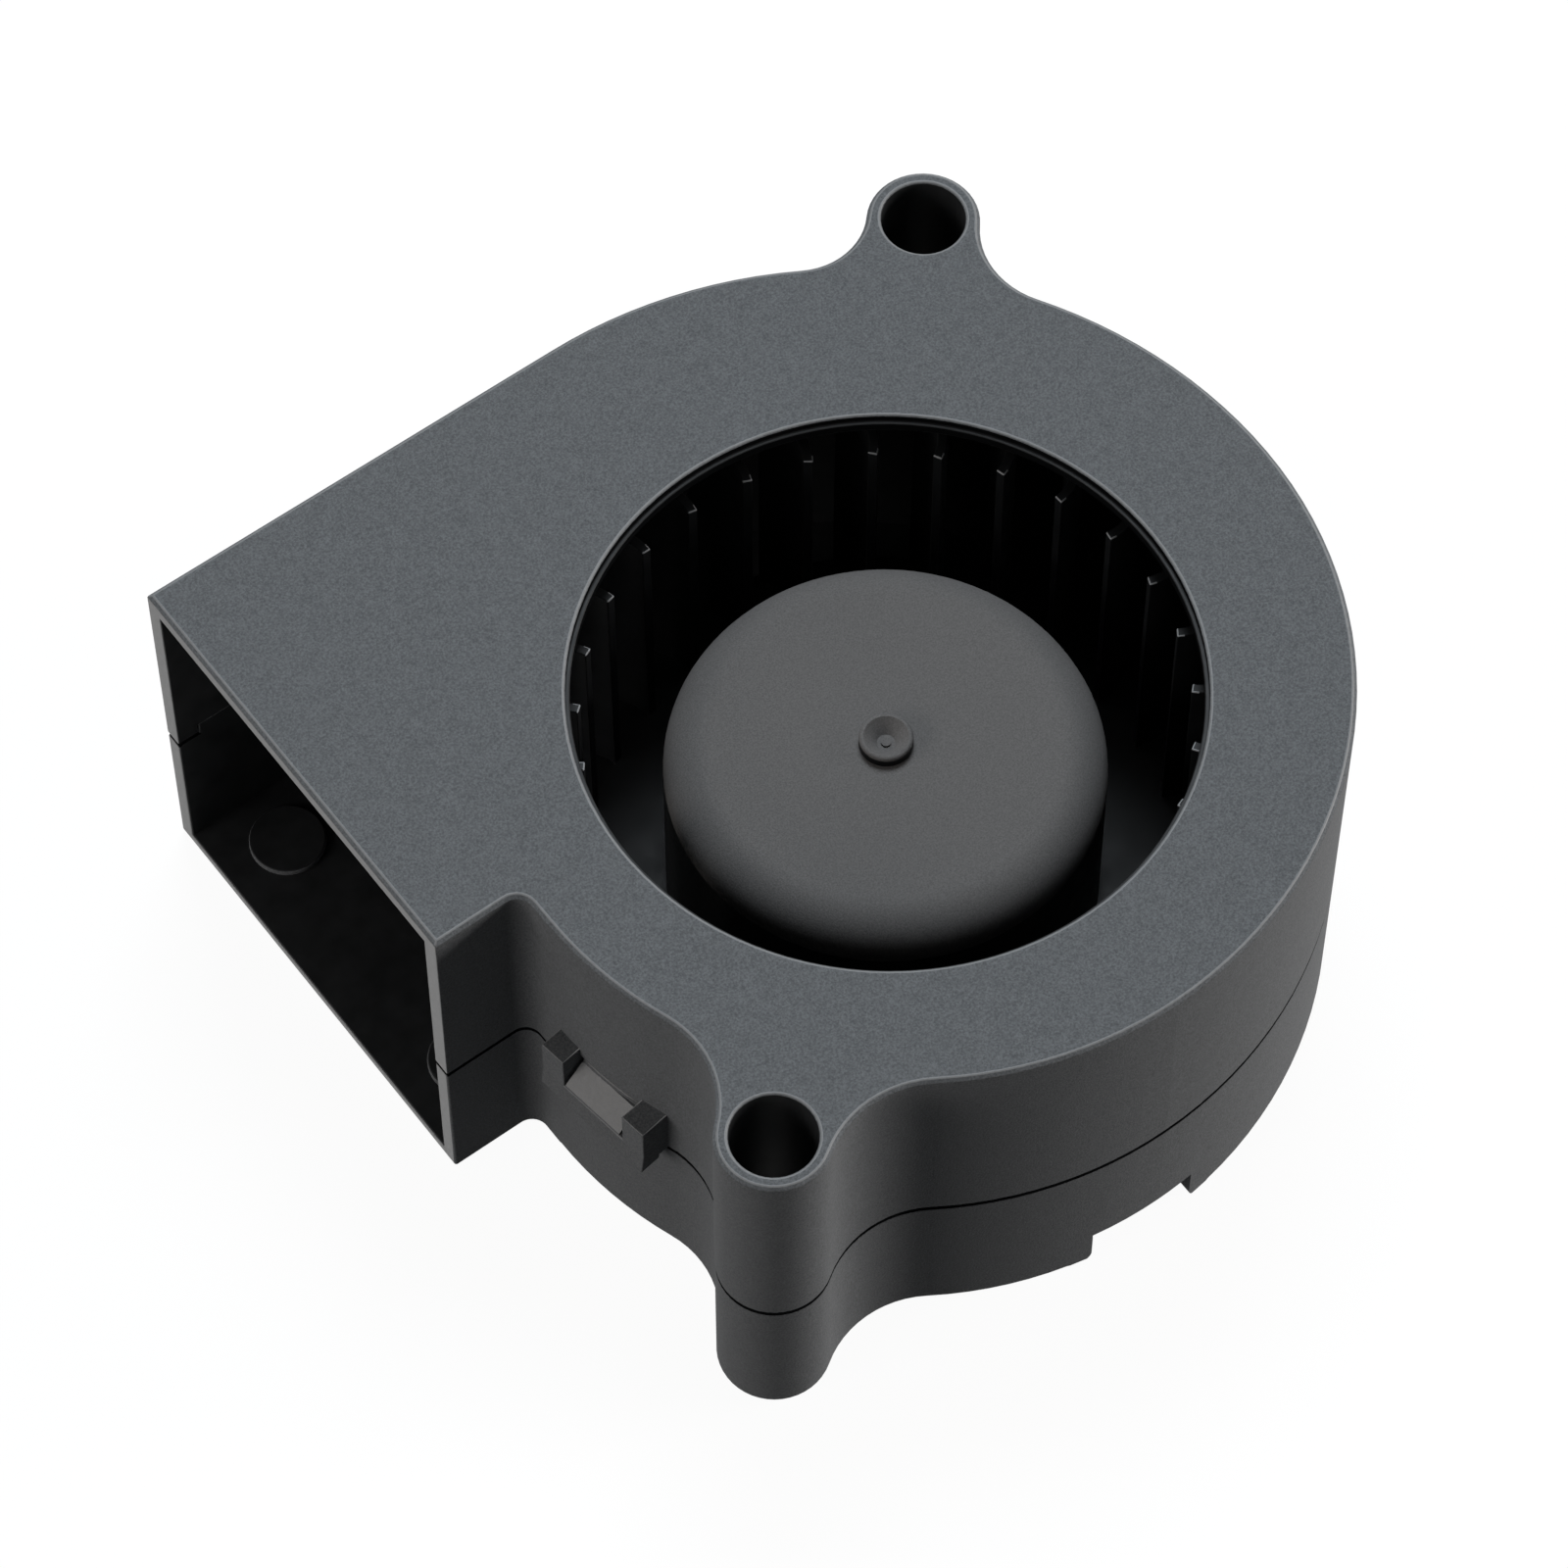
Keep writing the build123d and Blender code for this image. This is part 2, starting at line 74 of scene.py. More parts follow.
# Slots of a shell's materials: outside; inside, darker as painted shade; edges, lighter as
# painted highlights; and the joint between the shells, black as a painted shadow
OUTER, INNER_SHADE, EDGE_HIGHLIGHT, JOINT_SHADOW = range(4)

# Slots of the impeller's materials: blades and back plate, near-black as painted shade; hub cap;
# and the blades' corners, lighter as painted highlights
SHADED_VANES, CAP, TIP_HIGHLIGHT = range(3)

# An edge is sharp above the first angle. A face that easing made leans more than the second
# from the CAD face that it came from. An eased edge has this many facets.
SHARP_ANGLE = math.radians(35)
SAME_WAY = math.cos(math.radians(6))
EDGE_SEGMENTS = 2

# Points nearer than this are one, and an interpolated normal shorter than this is unsound
WELD = 0.001 * MM
SOUND = 0.5

# The hub cap: its wall over the steel yoke, how far its round runs down, and how much a face
# has to look up to be part of it
HUB_WALL = 1.2 * MM
HUB_SHOULDER = 3 * MM
LEVEL = 0.03

# The coils: radius of their corners, facets of each corner and sides of a wire
COIL_CORNER = 1.0 * MM
COIL_STEPS = 5
COIL_SIDES = 8

# The blades' inner corners, which get a painted highlight: out to this radius, and this far
# below the top of the wheel
BLADE_END = 18.3 * MM
CORNER = 0.4 * MM

# Test for inner surfaces, which are painted darker as shade: directions tried, how far they rise
# from the face, and the share that meets the shells at more than a distance. The first pair finds
# the air's way, and the second the narrow holes of the ears. They start this far off the face.
FEELERS = 60
RISE = 0.1
FAR_SHARE, FAR = 0.4, 5 * MM
NEAR_SHARE, NEAR = 0.8, 1 * MM
SKIN = 0.02 * MM

# Faces that bend less than this belong to one surface
BEND = math.cos(math.radians(20))

# The shells meet at this height. What isn't upright this near to it is in the joint, which is
# painted black as its shadow.
SEAM = 12.0 * MM
SEAM_REACH = 0.25 * MM
TILT = 0.1

# The latches' slopes, this near to the seam, lean this much: they get the smoother edge finish,
# lighter as a painted highlight
LATCH_REACH = 3 * MM
SLOPE = (0.3, 0.95)

# An eased face that turns up this much gets a painted highlight, as if it caught the light from
# above
UPWARD = 0.7

# The inlet's upright wall, out to this radius, is painted as black as the joint, as its shadow
INLET = 18.77 * MM
UPRIGHT = 0.3

# The plastic's index of refraction, and the strength of every finish's relief
PBT_IOR = 1.57
RELIEF = 0.6

# The floor: half its width, how far it lies below the base, how much light it throws back at the
# blower, how much of the lamps' light it shows the camera, and its own light to the camera
FLOOR_HALF = 3.0
FLOOR_GAP = 0.02 * MM
FLOOR_LIT = 0.02
FLOOR_SHADE = 0.06
FLOOR_GLOW = 0.95

# The world's even light on the blower
SKY_STRENGTH = 0.045

# The studio lamps stand this far off and are this wide. Each has a name, an azimuth and an
# elevation in degrees, a power in watts and a colour.
LAMP_DISTANCE = 1.0
LAMP_SIZE = 0.42
LAMPS = (
    ("back_softbox", 53, 62, 7.95, "#EFF8FF"),
    ("right_softbox", -30, 8, 12.2, "#FFFAF6"),
    ("left_softbox", 175, 20, 3.6, "#FFFAF6"),
    ("left_back", 150, 30, 0.8, "#FFFAF6"),
)

# The photograph's camera, from the outline of the top plate and the upright edges
LENS = 157.0
SENSOR = 36.0
CLIP_START, CLIP_END = 0.01, 10.0
CAMERA_PLACE = Vector((-126.5, -159.35, 369.7)) * MM
CAMERA_RIGHT = Vector((0.8011, -0.5985, -0.0001))
CAMERA_UP = Vector((0.5186, 0.6942, 0.4991))
CAMERA_AHEAD = Vector((0.2986, 0.3999, -0.8665))


def linear(code):
    """Linear RGBA of an sRGB hex colour."""
    channels = [int(code[i : i + 2], 16) / 255 for i in (1, 3, 5)]
    return (*[c / 12.92 if c <= 0.04045 else ((c + 0.055) / 1.055) ** 2.4 for c in channels], 1.0)


def even(level):
    """Neutral linear RGBA colour of one level."""
    return (level, level, level, 1.0)


def shades(colour, spread):
    """A darker and a lighter tone of one linear colour."""
    return [(*[channel * (1 + way * spread) for channel in colour[:3]], 1.0) for way in (-1, 1)]


def node(tree, kind, inputs=None, **settings):
    """Adds a node, sets its own settings, and fills its sockets with values or links."""
    made = tree.nodes.new(kind)
    for name, value in settings.items():
        setattr(made, name, value)
    for key, value in (inputs or {}).items():
        if isinstance(value, bpy.types.NodeSocket):
            tree.links.new(value, made.inputs[key])
        else:
            made.inputs[key].default_value = value
    return made


def colour_setting(name, description, code):
    """A colour that the user can change, from its sRGB hex value."""
    return FloatVectorProperty(
        name=name,
        description=description,
        subtype="COLOR",
        size=4,
        min=0.0,
        max=1.0,
        default=linear(code),
    )


def length_setting(name, description, default):
    """A length that the user can change."""
    return FloatProperty(
        name=name, description=description, unit="LENGTH", min=0.0, default=default
    )


class BlowerSizes(bpy.types.PropertyGroup):
    """Lengths that the finish and the windings are made from"""

    cover_edge: length_setting(
        "Cover edge", "Radius that eases the inlet cover's edges", 0.08 * MM
    )
    base_edge: length_setting("Base edge", "Radius that eases the base case's edges", 0.13 * MM)
    wheel_edge: length_setting(
        "Impeller edge", "Radius that eases the edges of the blades and the hub", 0.08 * MM
    )
    grain: length_setting(
        "Tool grain", "Size of one grain of the spark-eroded finish", 0.13 * MM
    )
    sheet: length_setting("Core sheet", "Thickness of one sheet of the stator core", 0.5 * MM)
    # The real wire is about 0.1 mm thick, too fine to show, so it is drawn coarser
    wire: length_setting("Winding wire", "Diameter of the enamelled wire", 0.3 * MM)
    winding: length_setting("Winding depth", "Thickness of a coil outside its former", 1.3 * MM)


class BlowerColours(bpy.types.PropertyGroup):
    """Colours of the plastics, the board's lacquer and the wire"""

    housing: colour_setting("Housing", "Black glass-filled PBT of the two shells", "#5E6062")
    wheel: colour_setting("Impeller", "Black PBT of the hub cap", "#656362")
    # Lighter than the housing: a painted highlight on upward edges, the mouth and the latch
    # slopes
    edge: colour_setting("Edges", "The same plastic along its eased edges", "#6E6F70")
    # Near-black: painted shade deep in the wheel, and the painted shadow of the shells' joint
    shaded_vanes: colour_setting("Vanes", "Black PBT of the blades and the back plate", "#0E0F10")
    # Light grey: a painted highlight on the blades' inner top corners
    corner: colour_setting("Blade corners", "Black PBT of the blades' rubbed corners", "#7C7E80")
    # Darker than the housing: painted shade on the shells' enclosed inside
    polished: colour_setting("Polished side", "Housing plastic off polished steel", "#202122")
    mask: colour_setting("Solder mask", "Green lacquer of the circuit board", "#1F5F38")
    enamel: colour_setting("Wire enamel", "Enamelled copper of the windings", "#A8552A")


def fresh_material(name, sockets):
    """A material with a Principled shader, whose constant sockets are set here."""
    material = bpy.data.materials.new(name)
    material.use_nodes = True
    tree = material.node_tree
    tree.nodes.clear()
    shader = node(tree, "ShaderNodeBsdfPrincipled", sockets)
    node(tree, "ShaderNodeOutputMaterial", {"Surface": shader.outputs[0]})
    return material, tree, shader


def speckle(tree, size, stretch=(1.0, 1.0, 1.0)):
    """Even noise from 0 to 1 of about the given grain size, drawn out along some axes."""
    place = node(tree, "ShaderNodeTexCoord").outputs["Object"]
    scale = [1 / (size * share) for share in stretch]
    spread = node(
        tree, "ShaderNodeVectorMath", {0: place, 1: scale}, operation="MULTIPLY"
    )
    cloud = node(
        tree,
        "ShaderNodeTexNoise",
        {"Vector": spread.outputs[0], "Scale": 1.0, "Detail": 2.0, "Roughness": 0.6},
    )
    # The cloud seldom leaves the range from 0.3 to 0.7, which is drawn out to 0 to 1
    return node(
        tree,
        "ShaderNodeMapRange",
        {"Value": cloud.outputs["Fac"], "From Min": 0.3, "From Max": 0.7},
    ).outputs[0]


def ripple(tree, axis, pitch):
    """Rise and fall from 0 to 1 along one axis, once in each pitch."""
    place = node(tree, "ShaderNodeTexCoord").outputs["Object"]
    split = node(tree, "ShaderNodeSeparateXYZ", {0: place})
    half = pitch / 2
    wave = node(tree, "ShaderNodeMath", {0: split.outputs[axis], 1: half}, operation="PINGPONG")
    return node(
        tree, "ShaderNodeMath", {0: wave.outputs[0], 1: half}, operation="DIVIDE"
    ).outputs[0]


def follow(tree, shader, pattern, tones, roughness, depth):
    """Makes the shader's colour, roughness and relief follow one pattern."""
    tint = node(
        tree,
        "ShaderNodeMixRGB",
        {"Fac": pattern, "Color1": tones[0], "Color2": tones[1]},
    )
    rough = node(
        tree,
        "ShaderNodeMapRange",
        {"Value": pattern, "To Min": roughness[0], "To Max": roughness[1]},
    )
    bump = node(
        tree, "ShaderNodeBump", {"Height": pattern, "Strength": RELIEF, "Distance": depth}
    )
    tree.links.new(tint.outputs[0], shader.inputs["Base Color"])
    tree.links.new(rough.outputs[0], shader.inputs["Roughness"])
    tree.links.new(bump.outputs[0], shader.inputs["Normal"])


def spark_eroded_pbt(colour, grain):
    """Glass-filled PBT moulded in a spark-eroded tool.

    The fine pits scatter the light, so the black plastic looks dark grey and dull, with an even
    sparkle. The real grain is about 0.1 mm; it is drawn a little coarser, so that it shows.
    """
    material, tree, shader = fresh_material(
        "pbt_spark_eroded", {"IOR": PBT_IOR, "Specular IOR Level": 0.05}
    )
    fine = speckle(tree, grain)
    mottle = speckle(tree, 8 * grain)
    both = node(
        tree, "ShaderNodeMix", {"Factor": 0.15, "A": fine, "B": mottle}, data_type="FLOAT"
    ).outputs[0]
    follow(tree, shader, both, shades(colour, 0.34), (0.66, 0.8), 0.12 * grain)
    return material


def highlit_edge_pbt(name, colour, grain):
    """The same plastic at edges and parting lines: smoother, and lighter as a painted highlight.
    """
    material, tree, shader = fresh_material(name, {"IOR": PBT_IOR, "Specular IOR Level": 0.3})
    pattern = speckle(tree, 2 * grain)
    follow(tree, shader, pattern, shades(colour, 0.12), (0.4, 0.55), 0.03 * grain)
    return material


def fine_moulded_pbt(colour, grain):
    """PBT of the hub cap, from a finely blasted tool: an even neutral grey with a soft sheen."""
    material, tree, shader = fresh_material(
        "pbt_fine_blasted", {"IOR": PBT_IOR, "Specular IOR Level": 0.06}
    )
    pattern = speckle(tree, 0.8 * grain)
    follow(tree, shader, pattern, shades(colour, 0.2), (0.58, 0.7), 0.08 * grain)
    return material


def shaded_polished_pbt(name, colour, grain, gloss=0.1):
    """PBT from a polished tool, inside the shells and on the blades: deep black, darker than the
    plastic as painted shade.

    With no gloss it is the dull black painted into the joint as its shadow.
    """
    material, tree, shader = fresh_material(name, {"IOR": PBT_IOR, "Specular IOR Level": gloss})
    pattern = speckle(tree, 12 * grain)
    follow(tree, shader, pattern, shades(colour, 0.15), (0.4, 0.5), 0.02 * grain)
    return material


def turned_brass():
    """Free-cutting brass, turned at 0.06 mm a turn: bright rings with a yellow cast."""
    material, tree, shader = fresh_material("brass_turned", {"Metallic": 1.0})
    rings = speckle(tree, 0.06 * MM, (60.0, 60.0, 1.0))
    follow(tree, shader, rings, (linear("#A88436"), linear("#C9A552")), (0.24, 0.38), 0.004 * MM)
    return material


def sintered_bronze():
    """Oil-filled sintered bronze: brown, pitted by open pores, with a dull oily sheen.

    The real pores are about 0.03 mm wide; they are drawn coarser, so that they show.
    """
    material, tree, shader = fresh_material("bronze_sintered", {"Metallic": 1.0})
    pores = speckle(tree, 0.12 * MM)
    follow(tree, shader, pores, (linear("#5A3F24"), linear("#A37A4C")), (0.38, 0.6), 0.015 * MM)
    return material


def natural_acetal():
    """Acetal, punched or moulded: milky white, slightly waxy."""
    material, tree, shader = fresh_material(
        "acetal_moulded", {"IOR": 1.48, "Subsurface Weight": 0.15, "Subsurface Scale": 0.5 * MM}
    )
    pattern = speckle(tree, 0.5 * MM)
    follow(tree, shader, pattern, (linear("#DAD7CC"), linear("#ECEAE2")), (0.35, 0.5), 0.004 * MM)
    return material


def stacked_sheets(sheet):
    """Silicon-steel sheets, stamped and stacked: grey metal with a dark line at each joint."""
    material, tree, shader = fresh_material("silicon_steel_stamped", {"Metallic": 1.0})
    joints = ripple(tree, "Z", sheet)
    edge = node(
        tree, "ShaderNodeMapRange", {"Value": joints, "From Min": 0.0, "From Max": 0.3}
    ).outputs[0]
    grain = speckle(tree, 0.2 * MM, (1.0, 1.0, 0.3))
    rough = node(tree, "ShaderNodeMath", {0: edge, 1: grain}, operation="MULTIPLY").outputs[0]
    both = node(
        tree, "ShaderNodeMix", {"Factor": 0.35, "A": edge, "B": rough}, data_type="FLOAT"
    ).outputs[0]
    follow(tree, shader, both, (linear("#3C3D40"), linear("#949699")), (0.6, 0.36), 0.02 * MM)
    return material


def moulded_nylon():
    """Natural nylon, moulded: cream and slightly clear, with a soft sheen."""
    material, tree, shader = fresh_material(
        "nylon_moulded", {"IOR": 1.53, "Subsurface Weight": 0.2, "Subsurface Scale": 0.6 * MM}
    )
    pattern = speckle(tree, 0.3 * MM)
    tint = (linear("#D8D1BE"), linear("#DFD9C8"))
    follow(tree, shader, pattern, tint, (0.42, 0.55), 0.004 * MM)
    return material


def enamelled_wire(colour):
    """Copper wire under clear enamel: reddish brown metal with a hard glossy coat."""
    material, tree, shader = fresh_material(
        "copper_enamelled", {"Metallic": 1.0, "Coat Weight": 0.6, "Coat Roughness": 0.12}
    )
    pattern = speckle(tree, 0.25 * MM)
    follow(tree, shader, pattern, shades(colour, 0.22), (0.26, 0.4), 0.003 * MM)
    return material


def tinned_finish():
    """Solder and hot-tinned metal: silvery, smooth, with frosty patches where it froze."""
    material, tree, shader = fresh_material("tin_dipped", {"Metallic": 1.0})
    pattern = speckle(tree, 0.18 * MM)
    tint = (linear("#A9ABAD"), linear("#D4D5D6"))
    follow(tree, shader, pattern, tint, (0.18, 0.42), 0.008 * MM)
    return material


def masked_laminate(mask):
    """Glass-epoxy board under lacquer: glossy green over a 0.5 mm weave, tan at its cut edge."""
    material, tree, shader = fresh_material("glass_epoxy_lacquered", {"IOR": 1.52})
    warp, weft = (ripple(tree, axis, 0.5 * MM) for axis in "XY")
    weave = node(
        tree, "ShaderNodeMix", {"Factor": 0.5, "A": warp, "B": weft}, data_type="FLOAT"
    ).outputs[0]
    follow(tree, shader, weave, shades(mask, 0.12), (0.22, 0.34), 0.01 * MM)
    facing = node(tree, "ShaderNodeTexCoord").outputs["Normal"]
    split = node(tree, "ShaderNodeSeparateXYZ", {0: facing})
    flat = node(tree, "ShaderNodeMath", {0: split.outputs["Z"]}, operation="ABSOLUTE").outputs[0]
    face = node(tree, "ShaderNodeMath", {0: flat, 1: 0.5}, operation="GREATER_THAN").outputs[0]
    lacquer = shader.inputs["Base Color"].links[0].from_socket
    tint = node(
        tree,
        "ShaderNodeMixRGB",
        {"Fac": face, "Color1": linear("#9A8B5C"), "Color2": lacquer},
    )
    tree.links.new(tint.outputs[0], shader.inputs["Base Color"])
    return material


def moulded_epoxy():
    """Black epoxy of chip packages: dull, with a fine grain from the blasted tool.

    The real grain is about 0.02 mm; it is drawn coarser, so that it shows.
    """
    material, tree, shader = fresh_material("epoxy_moulded", {"IOR": 1.55})
    pattern = speckle(tree, 0.08 * MM)
    follow(tree, shader, pattern, (linear("#17181A"), linear("#26272A")), (0.5, 0.7), 0.006 * MM)
    return material


def fired_ceramic():
    """Barium titanate of the chip capacitors, fired: matt tan with a faint speckle."""
    material, tree, shader = fresh_material("ceramic_fired", {"IOR": 1.7})
    pattern = speckle(tree, 0.1 * MM)
    follow(tree, shader, pattern, (linear("#8A6B49"), linear("#AE8F68")), (0.45, 0.6), 0.004 * MM)
    return material


def drawn_zinc_steel():
    """Deep-drawn steel, zinc plated: pale bluish metal, faintly scored along the draw."""
    material, tree, shader = fresh_material("steel_drawn_zinc_plated", {"Metallic": 1.0})
    scores = speckle(tree, 0.1 * MM, (1.0, 1.0, 30.0))
    bloom = speckle(tree, 1.2 * MM)
    both = node(
        tree, "ShaderNodeMix", {"Factor": 0.4, "A": scores, "B": bloom}, data_type="FLOAT"
    ).outputs[0]
    follow(tree, shader, both, (linear("#93979C"), linear("#BDC1C6")), (0.3, 0.46), 0.006 * MM)
    return material


def bonded_ferrite():
    """Plastic-bonded ferrite: dark brownish grey, dull, with bright specks of powder.

    The real powder is about 0.02 mm; its specks are drawn coarser, so that they show.
    """
    material, tree, shader = fresh_material("ferrite_bonded", {"IOR": 1.6})
    pattern = speckle(tree, 0.1 * MM)
    follow(tree, shader, pattern, (linear("#242221"), linear("#4A4643")), (0.55, 0.75), 0.01 * MM)
    return material


def ground_steel():
    """Hardened steel, ground: near mirror, with hair-fine rings round the shaft.

    The real marks are about 0.005 mm apart; they are drawn coarser, so that they show.
    """
    material, tree, shader = fresh_material("steel_ground", {"Metallic": 1.0})
    rings = speckle(tree, 0.05 * MM, (80.0, 80.0, 1.0))
    follow(tree, shader, rings, (linear("#B4B5B8"), linear("#D2D3D5")), (0.12, 0.24), 0.002 * MM)
    return material


def shade_like(mesh, source):
    """Gives each face the CAD surface's own normals, and the eased edges those of their sides.

    Returns the indices of the faces that the easing made.
    """
    mesh.shade_smooth()
    origins = mesh.attributes["origin"].data
    normals = [None] * len(mesh.loops)
    around = [Vector() for _ in mesh.vertices]
    eased = set()
    for face in mesh.polygons:
        triangle = source.polygons[origins[face.index].value]
        if face.normal.dot(triangle.normal) < SAME_WAY:
            eased.add(face.index)
            continue
        corners = [source.vertices[index].co for index in triangle.vertices]
        leans = [source.corner_normals[index].vector for index in triangle.loop_indices]
        for index in face.loop_indices:
            vertex = mesh.loops[index].vertex_index
            weights = poly_3d_calc(corners, mesh.vertices[vertex].co)
            lean = sum((part * weight for part, weight in zip(leans, weights)), Vector())
            sound = lean.length > SOUND
            normals[index] = lean.normalized() if sound else triangle.normal.copy()
            around[vertex] += normals[index]
    for index, loop in enumerate(mesh.loops):
        if normals[index] is None:
            lean = around[loop.vertex_index]
            usual = mesh.vertex_normals[loop.vertex_index].vector
            normals[index] = lean.normalized() if lean.length > 0 else usual.copy()
    mesh.normals_split_custom_set(normals)
    mesh.attributes.remove(mesh.attributes["origin"])
    return eased


def add_object(name, data):
    """Puts a mesh, a lamp or a camera into the scene."""
    made = bpy.data.objects.new(name, data)
    bpy.context.scene.collection.objects.link(made)
    return made


def eased_copy(name, radius):
    """Copy of a CAD node whose sharp edges are rounded by a small radius, and its eased faces."""
    source = NODES[name].data
    shape = bmesh.new()
    shape.from_mesh(source)
    origin = shape.faces.layers.int.new("origin")
    for face in shape.faces:
        face[origin] = face.index
    bmesh.ops.remove_doubles(shape, verts=shape.verts, dist=WELD)
    tight = {
        vertex
        for vertex in shape.verts
        if any(edge.calc_length() < 2 * radius for edge in vertex.link_edges)
    }
    sharp = [
        edge
        for edge in shape.edges
        if edge.is_convex
        and edge.calc_face_angle(0.0) > SHARP_ANGLE
        and tight.isdisjoint(edge.verts)
    ]
    bmesh.ops.bevel(
        shape,
        geom=sharp,
        offset=radius,
        segments=EDGE_SEGMENTS,
        profile=0.5,
        affect="EDGES",
        clamp_overlap=False,
        loop_slide=False,
    )
    mesh = bpy.data.meshes.new(name + "_eased")
    shape.to_mesh(mesh)
    shape.free()
    eased = shade_like(mesh, source)
    return add_object(name + "_eased", mesh), eased


def dress(piece, node_name, body, slot, *materials):
    """Gives a piece its body and materials and hides the node it stands for. The slot is not
    used.
    """
    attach(piece, body)
    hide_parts(node_name)
    piece.data.materials.clear()
    for material in materials:
        piece.data.materials.append(material)


def recoat(material, *names):
    """Gives CAD nodes that stay as they are their own finish."""
    for name in names:
        NODES[name].material_slots[0].material = material


def case_tree():
    """Search tree over the faces of both shells and the impeller."""
    points = []
    faces = []
    for name in ("inlet_cover", "base_case", "impeller"):
        mesh = NODES[name].data
        start = len(points)
        points += [vertex.co.copy() for vertex in mesh.vertices]
        faces += [[start + index for index in face.vertices] for face in mesh.polygons]
    return BVHTree.FromPolygons(points, faces)


def even_directions(count):
    """Directions spread evenly over a sphere, along a spiral."""
    golden = math.pi * (3 - math.sqrt(5))
    directions = []
    for number in range(count):
        height = 1 - (2 * number + 1) / count
        across = math.sqrt(1 - height * height)
        turn = number * golden
        directions.append(Vector((across * math.cos(turn), across * math.sin(turn), height)))
    return directions


def surfaces(mesh, left_out):
    """Groups of joined faces without a sharp bend between them."""
    sides = {}
    for face in mesh.polygons:
        if face.index not in left_out:
            for key in face.edge_keys:
                sides.setdefault(key, []).append(face.index)
    near = {}
    for pair in sides.values():
        if len(pair) == 2:
            first, second = (mesh.polygons[index] for index in pair)
            if first.normal.dot(second.normal) > BEND:
                near.setdefault(first.index, []).append(second.index)
                near.setdefault(second.index, []).append(first.index)
    seen = set(left_out)
    for face in mesh.polygons:
        if face.index in seen:
            continue
        seen.add(face.index)
        group = [face.index]
        for index in group:
            fresh = [other for other in near.get(index, ()) if other not in seen]
            seen.update(fresh)
            group += fresh
        yield group


def faces_inside(mesh, tree, left_out):
    """Indices of the faces whose surface looks mostly at the inside of the shells."""
    feelers = even_directions(FEELERS)
    inside = set()
    for group in surfaces(mesh, left_out):
        far = near = total = 0.0
        for index in group:
            face = mesh.polygons[index]
            start = face.center + face.normal * SKIN
            for feeler in feelers:
                if feeler.dot(face.normal) > RISE:
                    # A ray that leaves the shells meets nothing, which counts as no distance
                    distance = tree.ray_cast(start, feeler)[3] or 0.0
                    total += face.area
                    far += face.area * (distance > FAR)
                    near += face.area * (distance > NEAR)
        if far > FAR_SHARE * total or near > NEAR_SHARE * total:
            inside.update(group)
    return inside


def eased_between(mesh, eased, inside):
    """Indices of the eased faces that only inner surfaces adjoin."""
    borders = {}
    for face in mesh.polygons:
        if face.index not in eased:
            for vertex in face.vertices:
                borders.setdefault(vertex, []).append(face.index in inside)
    return {
        index
        for index in eased
        if all(all(borders.get(vertex, ())) for vertex in mesh.polygons[index].vertices)
    }


def shell_finish(face, bevel, enclosed, mouth):
    """Slot of the material of one face of a shell."""
    height = face.center.z - SEAM
    tilt = face.normal.z
    in_inlet = face.center.xy.length < INLET and height > 0
    # The joint and the inlet's upright wall are painted black as their shadow
    seam_shadow = abs(height) < SEAM_REACH and abs(tilt) > TILT
    if seam_shadow or (in_inlet and abs(tilt) < UPRIGHT):
        return JOINT_SHADOW
    # Enclosed faces and the rest of the inlet's bore are painted darker as shade
    if enclosed or in_inlet:
        return INNER_SHADE
    # The mouth's cut face, the latch slopes and upward eased edges are lightened as painted
    # highlights
    latch_highlight = abs(height) < LATCH_REACH and SLOPE[0] < tilt < SLOPE[1]
    if face.center.x < mouth or latch_highlight or (bevel and tilt > UPWARD):
        return EDGE_HIGHLIGHT
    return OUTER


class BLOWER_OT_shells(bpy.types.Operator):
    """Dress the inlet cover and the base case"""

    bl_idname = "blower.shells"
    bl_label = "Housing shells"

    def execute(self, context):
        sizes = context.scene.blower_sizes
        colours = context.scene.blower_colours
        outer = spark_eroded_pbt(colours.housing, sizes.grain)
        # The inside is darker than the outside as painted shade
        inner = shaded_polished_pbt("pbt_polished_inside_painted_shade", colours.polished, sizes.grain)
        # Edges lighter than the outside as painted highlights
        edge = highlit_edge_pbt("pbt_edge_painted_highlight", colours.edge, sizes.grain)
        # The joint's near-black without gloss is a painted shadow in the gap between the shells
        joint = shaded_polished_pbt("pbt_joint_painted_shadow", colours.shaded_vanes, sizes.grain, gloss=0.0)
        tree = case_tree()
        for name, radius in (("inlet_cover", sizes.cover_edge), ("base_case", sizes.base_edge)):
            piece, eased = eased_copy(name, radius)
            dress(piece, name, "housing", "housing_plastic", outer, inner, edge, joint)
            inside = faces_inside(piece.data, tree, eased)
            enclosed = inside | eased_between(piece.data, eased, inside)
            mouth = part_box(name)[0][0] + SKIN
            for face in piece.data.polygons:
                face.material_index = shell_finish(
                    face, face.index in eased, face.index in enclosed, mouth
                )
        return {"FINISHED"}


